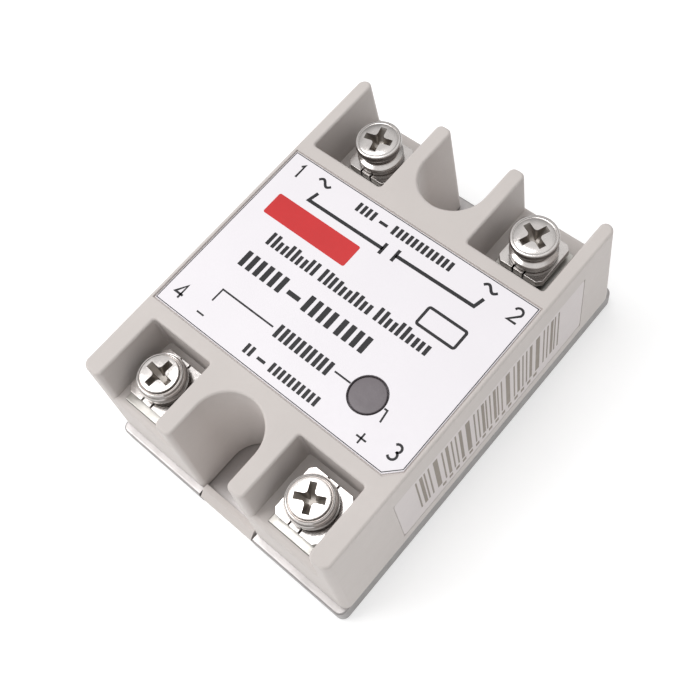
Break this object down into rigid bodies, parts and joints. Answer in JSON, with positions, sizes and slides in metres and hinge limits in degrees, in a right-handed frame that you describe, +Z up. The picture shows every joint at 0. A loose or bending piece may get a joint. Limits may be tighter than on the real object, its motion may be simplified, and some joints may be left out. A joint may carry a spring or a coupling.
{
  "type": "solid state relay",
  "caption": "Rectangular solid state relay: plastic housing on a metal base plate with open end notches for mounting screws, screw terminals with clamps at both ends and an indicator window.",
  "frame": {"origin": "centre of the base plate's underside, which is the mounting surface", "axes": "+Z up out of the mounting surface, +Y along the length towards the load terminals 1 and 2, +X to the right of the upright label, the side with the paper sticker"},
  "size_m": [0.045, 0.0624, 0.023],
  "materials": {
    "housing_plastic": "satin",
    "base_metal": "satin",
    "sealant": "matte",
    "label_film": "satin",
    "sticker_paper": "matte",
    "window_plastic": "gloss",
    "thermal_layer": "matte",
    "package_plastic": "matte",
    "tinned_metal": "satin",
    "board_laminate": "satin",
    "copper": "satin",
    "capacitor_plastic": "satin",
    "resistor_coat": "satin",
    "led_epoxy": "gloss",
    "plated_steel": "bright"
  },
  "bodies": {
    "relay_body": {"housing": "housing_plastic", "base_plate": "base_metal", "sealing_bead": "sealant", "front_label": "label_film", "side_label": "sticker_paper", "led_window": "window_plastic", "thermal_pad": "thermal_layer", "triac": "package_plastic", "triac_leads": "tinned_metal", "circuit_board": "board_laminate", "load_bus_1": "copper", "load_bus_2": "copper", "optocoupler": "package_plastic", "snubber_capacitor": "capacitor_plastic", "snubber_resistor": "resistor_coat", "gate_resistor": "resistor_coat", "input_resistor": "resistor_coat", "input_diode": "package_plastic", "input_transistor": "package_plastic", "indicator_led": "led_epoxy", "terminal_plate_1": "tinned_metal", "terminal_plate_2": "tinned_metal", "terminal_plate_3": "tinned_metal", "terminal_plate_4": "tinned_metal"},
    "clamp_1": {"clamp_washer_1": "plated_steel", "spring_washer_1": "plated_steel"},
    "screw_1": {"terminal_screw_1": "plated_steel"},
    "clamp_2": {"clamp_washer_2": "plated_steel", "spring_washer_2": "plated_steel"},
    "screw_2": {"terminal_screw_2": "plated_steel"},
    "clamp_3": {"clamp_washer_3": "plated_steel", "spring_washer_3": "plated_steel"},
    "screw_3": {"terminal_screw_3": "plated_steel"},
    "clamp_4": {"clamp_washer_4": "plated_steel", "spring_washer_4": "plated_steel"},
    "screw_4": {"terminal_screw_4": "plated_steel"}
  },
  "joints": [
    {"name": "clamp_lift_1", "type": "slide", "parent": "relay_body", "child": "clamp_1", "axis": [0, 0, 1], "range_m": [-0.00087, 0.00192]},
    {"name": "screw_turn_1", "type": "hinge", "parent": "clamp_1", "child": "screw_1", "pos_m": [-0.0138, 0.0226, 0.0163], "axis": [0, 0, 1], "range_deg": [-450, 990]},
    {"name": "clamp_lift_2", "type": "slide", "parent": "relay_body", "child": "clamp_2", "axis": [0, 0, 1], "range_m": [-0.00087, 0.00192]},
    {"name": "screw_turn_2", "type": "hinge", "parent": "clamp_2", "child": "screw_2", "pos_m": [0.0138, 0.0226, 0.0163], "axis": [0, 0, 1], "range_deg": [-450, 990]},
    {"name": "clamp_lift_3", "type": "slide", "parent": "relay_body", "child": "clamp_3", "axis": [0, 0, 1], "range_m": [-0.00075, 0.00165]},
    {"name": "screw_turn_3", "type": "hinge", "parent": "clamp_3", "child": "screw_3", "pos_m": [0.0138, -0.0233, 0.0168], "axis": [0, 0, 1], "range_deg": [-450, 990]},
    {"name": "clamp_lift_4", "type": "slide", "parent": "relay_body", "child": "clamp_4", "axis": [0, 0, 1], "range_m": [-0.00075, 0.00165]},
    {"name": "screw_turn_4", "type": "hinge", "parent": "clamp_4", "child": "screw_4", "pos_m": [-0.0138, -0.0233, 0.0168], "axis": [0, 0, 1], "range_deg": [-450, 990]}
  ],
  "couplings": [
    {"joint": "screw_turn_1", "follows": "clamp_lift_1", "rad_per_m": 8976},
    {"joint": "screw_turn_2", "follows": "clamp_lift_2", "rad_per_m": 8976},
    {"joint": "screw_turn_3", "follows": "clamp_lift_3", "rad_per_m": 10472},
    {"joint": "screw_turn_4", "follows": "clamp_lift_4", "rad_per_m": 10472}
  ]
}
